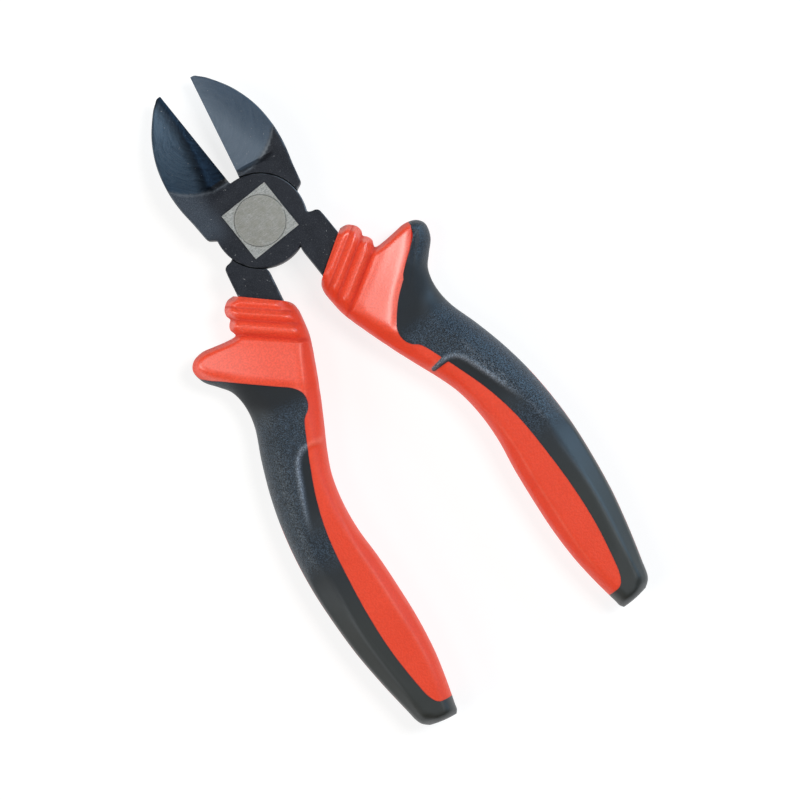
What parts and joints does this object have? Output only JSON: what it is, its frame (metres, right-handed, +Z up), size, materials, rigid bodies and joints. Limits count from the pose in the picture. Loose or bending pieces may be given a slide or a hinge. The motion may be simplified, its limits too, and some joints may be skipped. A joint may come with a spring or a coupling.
{
  "type": "diagonal cutting pliers",
  "caption": "Lap-jointed diagonal cutting pliers with hollow-ground bevelled jaws, a flush riveted pivot and curved insulating grips with finger guards.",
  "frame": {"origin": "centre of the rivet's lower end, which is flush with the polished boss on the underside of the head", "axes": "+Y from the pivot to the jaw tips along the tool's centre line, +Z up along the pivot's axis, +X to the right when the tool is seen from above with the jaws up"},
  "size_m": [0.0718, 0.1579, 0.0155],
  "materials": {
    "oxide_steel": "forged tool steel with a black oxide finish, ground on the jaws",
    "bright_steel": "ground bright",
    "red_plastic": "satin moulded hard plastic",
    "black_rubber": "soft moulded rubber, partly pebbled"
  },
  "bodies": {
    "front_half": {"front_half_forging": "oxide_steel", "pivot_rivet": "bright_steel", "right_grip_core": "red_plastic", "right_grip_overmould": "black_rubber"},
    "back_half": {"back_half_forging": "oxide_steel", "left_grip_core": "red_plastic", "left_grip_overmould": "black_rubber"}
  },
  "joints": [
    {"name": "pivot", "type": "hinge", "parent": "front_half", "child": "back_half", "pos_m": [0, 0, 0.00525], "axis": [0, 0, -1], "range_deg": [-12.5, 29]}
  ]
}
